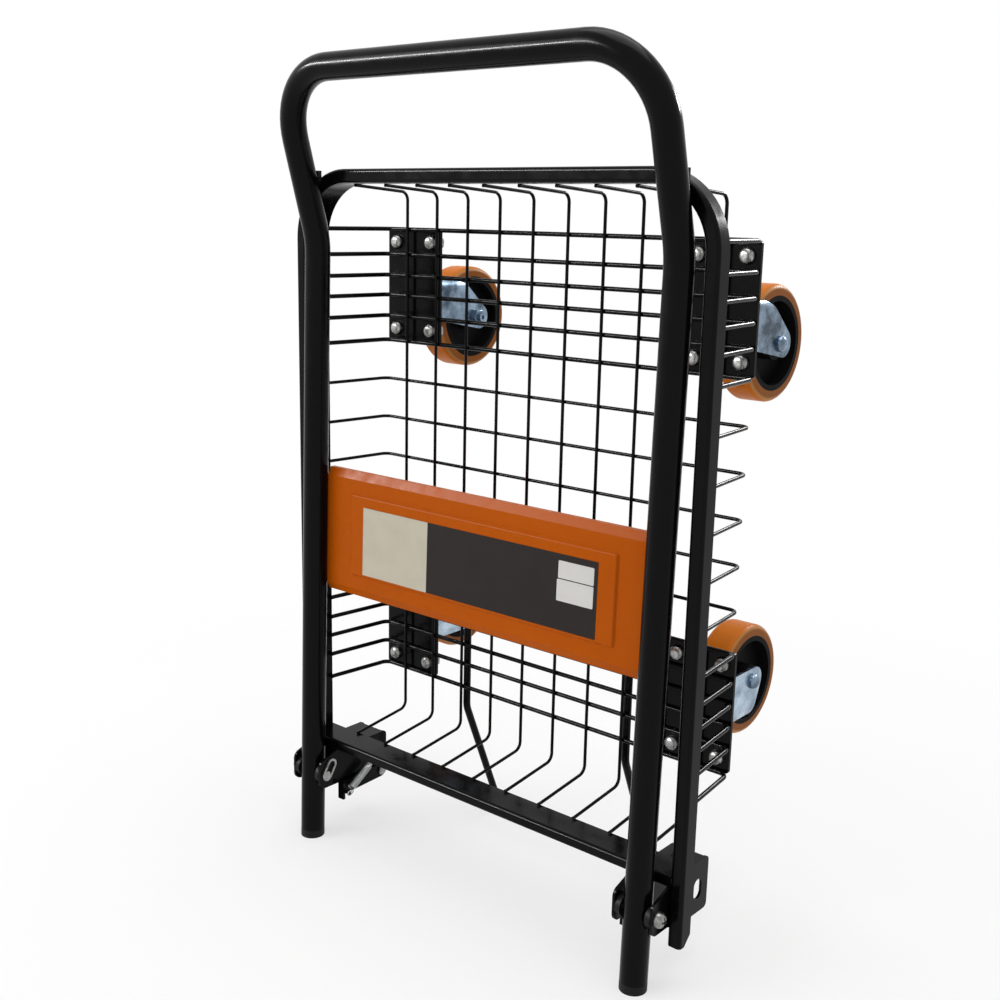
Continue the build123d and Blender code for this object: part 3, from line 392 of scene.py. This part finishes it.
def moulded_plastic(name, colour, other, rough, gloss, grain_mm, grain):
    """Moulded plastic, rubber or coated paper: close tones and a fine grain."""
    material, tree = new_material(name)
    place = add_node(tree, "ShaderNodeTexCoord").outputs["Object"]
    cloud = add_node(tree, "ShaderNodeTexNoise", {"Vector": place, "Scale": per_size(MOULD_CLOUD_MM),
                                                  "Detail": 4.0})
    tone = add_node(tree, "ShaderNodeMix", {MIX_FACTOR: cloud.outputs["Fac"], MIX_FIRST: linear(other),
                                            MIX_SECOND: linear(colour)}, data_type="RGBA")
    pits = add_node(tree, "ShaderNodeTexNoise", {"Vector": place, "Scale": per_size(grain_mm),
                                                 "Detail": 2.0})
    shine = add_node(tree, "ShaderNodeMapRange", {"Value": pits.outputs["Fac"], "From Min": NOISE_LOW,
                                                  "From Max": NOISE_HIGH, "To Min": rough * 0.85,
                                                  "To Max": rough * 1.15})
    skin = add_node(tree, "ShaderNodeBump", {"Height": pits.outputs["Fac"], "Strength": grain,
                                             "Distance": 0.4 * MM})
    plastic = add_node(tree, "ShaderNodeBsdfPrincipled",
                       {"Base Color": tone.outputs[MIX_RESULT], "Roughness": shine.outputs[0],
                        "Specular IOR Level": gloss, "Normal": skin.outputs[0]})
    add_node(tree, "ShaderNodeOutputMaterial", {"Surface": plastic.outputs[0]})
    return material


black_nylon = moulded_plastic("black nylon", "#171718", "#111112",
                              rough=0.42, gloss=0.02, grain_mm=1.2, grain=0.15)
black_rubber = moulded_plastic("black rubber", "#131313", "#0D0D0D",
                               rough=0.75, gloss=0.15, grain_mm=1.5, grain=0.25)
black_polythene = moulded_plastic("black polythene", "#161617", "#101011",
                                  rough=0.5, gloss=0.15, grain_mm=1.4, grain=0.15)
label_film = moulded_plastic("black printed film", "#2B2523", "#241F1D",
                             rough=0.40, gloss=0.12, grain_mm=2.0, grain=0.03)
cream_paper = moulded_plastic("cream printed paper", "#C9C3B2", "#B7AF9C",
                              rough=0.55, gloss=0.12, grain_mm=1.0, grain=0.05)
white_paper = moulded_plastic("white label paper", "#DAD8D4", "#D0CECA",
                              rough=0.55, gloss=0.12, grain_mm=1.0, grain=0.05)
print("plastics and papers ready")

# %% [markdown]
# Each CAD solid keeps its shape and takes the finish of the real piece. The record says which finish a node
# has, so one table from its slots to the materials above dresses them all. The rigid forks alone take the
# lighter copy of the zinc, a painted light; the darker zinc on the swivel forks is partly painted shade.

# %% Finishes on the CAD solids
FINISH_OF_SLOT = {
    "black_paint": black_enamel,
    "orange_paint": orange_enamel,
    "label_skin": label_film,
    "zinc_steel": blue_zinc,
    "bolt_steel": silver_zinc,
    "spring_steel": spring_steel,
    "orange_tread": polyurethane,
    "black_hub": black_nylon,
    "black_rubber": black_rubber,
    "black_plastic": black_polythene,
}
SLOT_OF_NODE = {row["node"]: row["material_slot"] for row in frame["record"]["subparts"]}
for node, slot in SLOT_OF_NODE.items():
    solid = nodes[node]
    solid.data.materials.clear()
    # Painted light: the rigid forks take the lighter copy of the same zinc
    solid.data.materials.append(lit_zinc if node == "rigid_forks" else FINISH_OF_SLOT[slot])
print("finished", len(SLOT_OF_NODE), "solids")

# %% [markdown]
# ## Latch springs
# Each latch lever is pulled by an extension spring, hooked on a pin of the lever at one end and on a post
# of the bracket at the other. A spring could be a curve with a round bevel, but its ends have to turn from
# the coil into eyes. So it is wound as on a spring coiler: a ring, the wire's own section, is screwed
# round the axis, and the same ring is then spun on into each eye.
#
# The spring is wound along Z with its hook at the origin, and turned into place afterwards. The post's
# place comes from the CAD post, and the hook lies as far on the other side of the CAD spring's middle.

# %% Helpers for modelling
def clear_selection():
    """Leave nothing selected, so that the next operator acts on the new piece alone."""
    if bpy.context.mode != "OBJECT":
        bpy.ops.object.mode_set(mode="OBJECT")
    bpy.ops.object.select_all(action="DESELECT")


def pick(piece):
    """Make a piece the only one that is selected, and the active one."""
    clear_selection()
    piece.select_set(True)
    bpy.context.view_layer.objects.active = piece


def select_points(piece, test):
    """In edit mode, select just the points of a piece that pass a test of their place."""
    bpy.ops.object.mode_set(mode="EDIT")
    bpy.ops.mesh.select_mode(type="VERT")
    bpy.ops.mesh.select_all(action="DESELECT")
    bpy.ops.object.mode_set(mode="OBJECT")
    for point in piece.data.vertices:
        point.select = test(point.co)
    bpy.ops.object.mode_set(mode="EDIT")


def close_up(piece):
    """Turn all faces of a piece outwards and leave edit mode."""
    bpy.ops.object.mode_set(mode="EDIT")
    bpy.ops.mesh.select_all(action="SELECT")
    bpy.ops.mesh.normals_make_consistent(inside=False)
    bpy.ops.object.mode_set(mode="OBJECT")


def put(piece, matrix):
    """Carry a piece to its place, and keep the place in its mesh."""
    pick(piece)
    piece.matrix_world = matrix
    bpy.ops.object.transform_apply(location=True, rotation=True, scale=True)


def middle(node):
    """Centre of a CAD node's box."""
    low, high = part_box(node)
    return (low + high) / 2


# %% Wind one spring
WIRE = 1.4 * MM
COIL_R = 4.05 * MM
PITCH = 2.2 * MM
TURNS = 15
EYE_R = 2.65 * MM
EYE_TURN = radians(285)
WIRE_SIDES, TURN_STEPS, BEND_STEPS, EYE_STEPS = 12, 24, 6, 20
WIRE_SMOOTH = radians(40)

post_place = middle("spring_posts")
spring_middle = middle("latch_spring_right")
run = 2 * Vector((0, post_place.y - spring_middle.y, post_place.z - spring_middle.z))
coil_low = (run.length - TURNS * PITCH) / 2
coil_high = run.length - coil_low

clear_selection()
bpy.ops.mesh.primitive_circle_add(vertices=WIRE_SIDES, radius=WIRE / 2, location=(COIL_R, 0, coil_low),
                                  rotation=(pi / 2, 0, 0))
spring = bpy.context.object
bpy.ops.object.transform_apply(location=True, rotation=True, scale=True)
coil = spring.modifiers.new("coil", "SCREW")
coil.angle = 2 * pi
coil.iterations = TURNS
coil.screw_offset = PITCH
coil.steps = coil.render_steps = TURN_STEPS
bpy.ops.object.modifier_apply(modifier=coil.name)
print("coil from", round(coil_low / MM, 2), "to", round(coil_high / MM, 2), "of",
      round(run.length / MM, 2), "mm")

# %% [markdown]
# At each end the ring bends away from the coil by a quarter turn, runs straight to the height of its pin or
# post, and turns on round it into an eye. The ring lies in the plane of X and Z on the coil's +X side,
# which tells its points from the rest of the coil. A face closes the cut end of the wire.

# %% Turn the ends of the coil into eyes
ON_PLANE = 0.01 * MM
RING_REACH = 0.6 * WIRE
for z_end, z_eye, way in ((coil_high, run.length, 1), (coil_low, 0.0, -1)):
    select_points(spring, lambda co: abs(co.y) < ON_PLANE and co.x > 0 and abs(co.z - z_end) < RING_REACH)
    bend_middle = (COIL_R, 0, z_end + way * EYE_R)
    bpy.ops.mesh.spin(steps=BEND_STEPS, angle=pi / 2, center=bend_middle, axis=(1, 0, 0))
    straight = z_eye - z_end - way * EYE_R
    bpy.ops.mesh.extrude_region_move(TRANSFORM_OT_translate={"value": (0, 0, straight)})
    bpy.ops.mesh.spin(steps=EYE_STEPS, angle=EYE_TURN, center=(COIL_R, 0, z_eye), axis=(1, 0, 0))
    bpy.ops.mesh.edge_face_add()
close_up(spring)
bpy.ops.object.shade_smooth_by_angle(angle=WIRE_SMOOTH)
print("spring", len(spring.data.polygons), "faces, box", [round(v / MM, 1) for v in spring.dimensions])

# %% [markdown]
# The lever's end of the spring moves with the lever and the other stays with the bracket. Each spring is
# turned into place here, and the CAD spring that it stands for is hidden.

# %% Hang both springs
along = run.normalized()
for name, inward in (("left", 1), ("right", -1)):
    piece = spring
    if name == "left":
        piece = spring.copy()
        piece.data = spring.data.copy()
        bpy.context.collection.objects.link(piece)
    across = Vector((inward, 0, 0))
    hook = middle(f"latch_spring_{name}") - run / 2
    turn = Matrix((across, along.cross(across), along)).transposed().to_4x4()
    put(piece, Matrix.Translation(hook) @ turn)
    piece.name = f"wound_spring_{name}"
    piece.data.materials.append(spring_steel)
    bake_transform(piece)
    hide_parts(f"latch_spring_{name}")
    print(piece.name, "hook at", [round(v / MM, 1) for v in hook])

# %% [markdown]
# ## Label
# The panel's label is a dark film. Its left end is a pale block and its right end carries two white
# stickers, all of them plain. Each is a thin patch: a plane with its corners rounded by a vertex bevel and
# given the thickness of paper, which reads at the edges as a real sticker does.

# %% Patches on the label
PANEL_LEAN = radians(1.5)
LABEL_THICK = 0.3 * MM
PATCH_THICK = 0.15 * MM
CORNER_STEPS = 4
label_low, label_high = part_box("panel_label")
label_wide = label_high.x - label_low.x
label_tall = (label_high.z - label_low.z) / cos(PANEL_LEAN)
face = Vector((0, -cos(PANEL_LEAN), sin(PANEL_LEAN)))
rise = Vector((0, sin(PANEL_LEAN), cos(PANEL_LEAN)))
label_front = middle("panel_label") + face * LABEL_THICK / 2


def label_patch(name, left, right, low, high, corner, material):
    """A thin patch on the label's face, between two widths and two heights from its middle."""
    clear_selection()
    bpy.ops.mesh.primitive_plane_add(size=1)
    patch = bpy.context.object
    patch.scale = (right - left, high - low, 1)
    bpy.ops.object.transform_apply(location=True, rotation=True, scale=True)
    bpy.ops.object.mode_set(mode="EDIT")
    bpy.ops.mesh.select_all(action="SELECT")
    bpy.ops.mesh.bevel(offset=corner, segments=CORNER_STEPS, affect="VERTICES")
    bpy.ops.object.mode_set(mode="OBJECT")
    film = patch.modifiers.new("thickness", "SOLIDIFY")
    film.thickness = PATCH_THICK
    film.offset = 1
    bpy.ops.object.modifier_apply(modifier=film.name)
    close_up(patch)
    turn = Matrix((Vector((1, 0, 0)), rise, face)).transposed().to_4x4()
    centre = label_front + Vector(((left + right) / 2, 0, 0)) + rise * (low + high) / 2
    put(patch, Matrix.Translation(centre) @ turn)
    patch.name = name
    patch.data.materials.append(material)
    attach(patch, "handle")


PICTURE_END = -57 * MM
PICTURE_CORNER, STICKER_CORNER = 0.4 * MM, 1.0 * MM
# Left, right, low and high side of each sticker, from the label's middle
STICKERS = {
    "label_sticker_upper": (103 * MM, 142 * MM, 13 * MM, 29 * MM),
    "label_sticker_lower": (102 * MM, 142 * MM, -8 * MM, 12 * MM),
}
label_patch("label_picture_block", -label_wide / 2, PICTURE_END, -label_tall / 2, label_tall / 2,
            PICTURE_CORNER, cream_paper)
for name, sides in STICKERS.items():
    label_patch(name, *sides, STICKER_CORNER, white_paper)
print("label", round(label_wide / MM, 1), "x", round(label_tall / MM, 1), "mm")

# %% [markdown]
# ## Nuts
# A pressed nut has its corners turned off by a chamfer on both sides, which leaves a round face a little
# narrower than the flats. The CAD nuts are plain hexagons. For each node of them one nut is cut as on a
# lathe: a hexagonal bar is kept only where it lies inside a chamfered barrel, and drilled. Copies of it then
# go to the places of the CAD nuts.

# %% Cut one nut
CHAMFER = radians(30)
FACE_SHARE = 0.95
BARREL_SIDES, BORE_SIDES = 48, 32
NUT_SMOOTH = radians(25)


def barrel(radius, tall, inset):
    """A round bar with both ends chamfered, to cut a nut's corners with."""
    clear_selection()
    bpy.ops.mesh.primitive_cylinder_add(vertices=BARREL_SIDES, radius=radius, depth=tall)
    bar = bpy.context.object
    for way in (1, -1):
        select_points(bar, lambda co: co.z * way > 0)
        bpy.ops.mesh.inset(thickness=inset)
        bpy.ops.object.mode_set(mode="OBJECT")
        select_points(bar, lambda co: co.z * way > 0 and co.xy.length > radius - inset / 2)
        bpy.ops.transform.translate(value=(0, 0, -way * inset * tan(CHAMFER)))
        bpy.ops.object.mode_set(mode="OBJECT")
    return bar


def cut_with(piece, tool, operation):
    """Cut a piece with another one, which is used up."""
    cut = piece.modifiers.new("cut", "BOOLEAN")
    cut.object = tool
    cut.operation = operation
    cut.solver = "EXACT"
    pick(piece)
    bpy.ops.object.modifier_apply(modifier=cut.name)
    bpy.data.objects.remove(tool)


def pressed_nut(across, tall, bore):
    """A hexagon nut along Z with chamfered corners, and a bore of this radius."""
    corner = across / 2 / cos(pi / 6)
    clear_selection()
    bpy.ops.mesh.primitive_cylinder_add(vertices=6, radius=corner, depth=tall)
    nut = bpy.context.object
    cut_with(nut, barrel(corner, tall, corner - FACE_SHARE * across / 2), "INTERSECT")
    clear_selection()
    bpy.ops.mesh.primitive_cylinder_add(vertices=BORE_SIDES, radius=bore, depth=2 * tall)
    cut_with(nut, bpy.context.object, "DIFFERENCE")
    pick(nut)
    close_up(nut)
    bpy.ops.object.shade_smooth_by_angle(angle=NUT_SMOOTH)
    return nut


# %% [markdown]
# A node with several nuts is one mesh, so its points are sorted into nuts by how near they lie together.
# Each nut's box gives its place, and the first one's side along the bolt gives the height of them all.

# %% Nuts at the places of the CAD nuts
PLATE_NUT = {"across": 13 * MM, "bore": 4.02 * MM, "axis": "Y"}
AXLE_NUT = {"across": 15 * MM, "bore": 5.02 * MM, "axis": "X"}
NUT_REACH = 1.5


def nut_boxes(node, reach):
    """Lowest and highest corner of each nut in a node: points within reach of each other are one nut."""
    groups = []
    for point in nodes[node].data.vertices:
        home = next((g for g in groups if (g[0] - point.co).length < reach), None)
        if home is None:
            home = []
            groups.append(home)
        home.append(point.co.copy())
    return [(Vector(map(min, zip(*g))), Vector(map(max, zip(*g)))) for g in groups]


def put_nuts(name, body, node, across, bore, axis):
    """Chamfered nuts in the places of a node's plain ones, as one piece with the finish of the node's slot.
    """
    boxes = nut_boxes(node, NUT_REACH * across)
    low, high = boxes[0]
    tall = (high - low)["XYZ".index(axis)]
    first = pressed_nut(across, tall, bore)
    turn = Matrix.Rotation(pi / 2, 4, "X" if axis == "Y" else "Y")
    copies = []
    for low, high in boxes:
        copy = first.copy()
        copy.data = first.data.copy()
        bpy.context.collection.objects.link(copy)
        put(copy, Matrix.Translation((low + high) / 2) @ turn)
        copies.append(copy)
    bpy.data.objects.remove(first)
    for copy in copies:
        copy.select_set(True)
    bpy.context.view_layer.objects.active = copies[0]
    if len(copies) > 1:
        bpy.ops.object.join()
    piece = bpy.context.object
    piece.name = name
    piece.data.materials.clear()
    slot = SLOT_OF_NODE[node]
    piece.data.materials.append(FINISH_OF_SLOT[slot])
    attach(piece, body)
    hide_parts(node)
    print(name, len(boxes), "nuts,", len(piece.data.polygons), "faces")


put_nuts("pressed_plate_nuts", "basket", "plate_nuts", **PLATE_NUT)
put_nuts("pressed_rigid_axle_nuts", "basket", "rigid_axle_nuts", **AXLE_NUT)
for name in ("left", "right"):
    put_nuts(f"pressed_swivel_axle_nut_{name}", f"swivel_{name}", f"swivel_axle_nut_{name}", **AXLE_NUT)
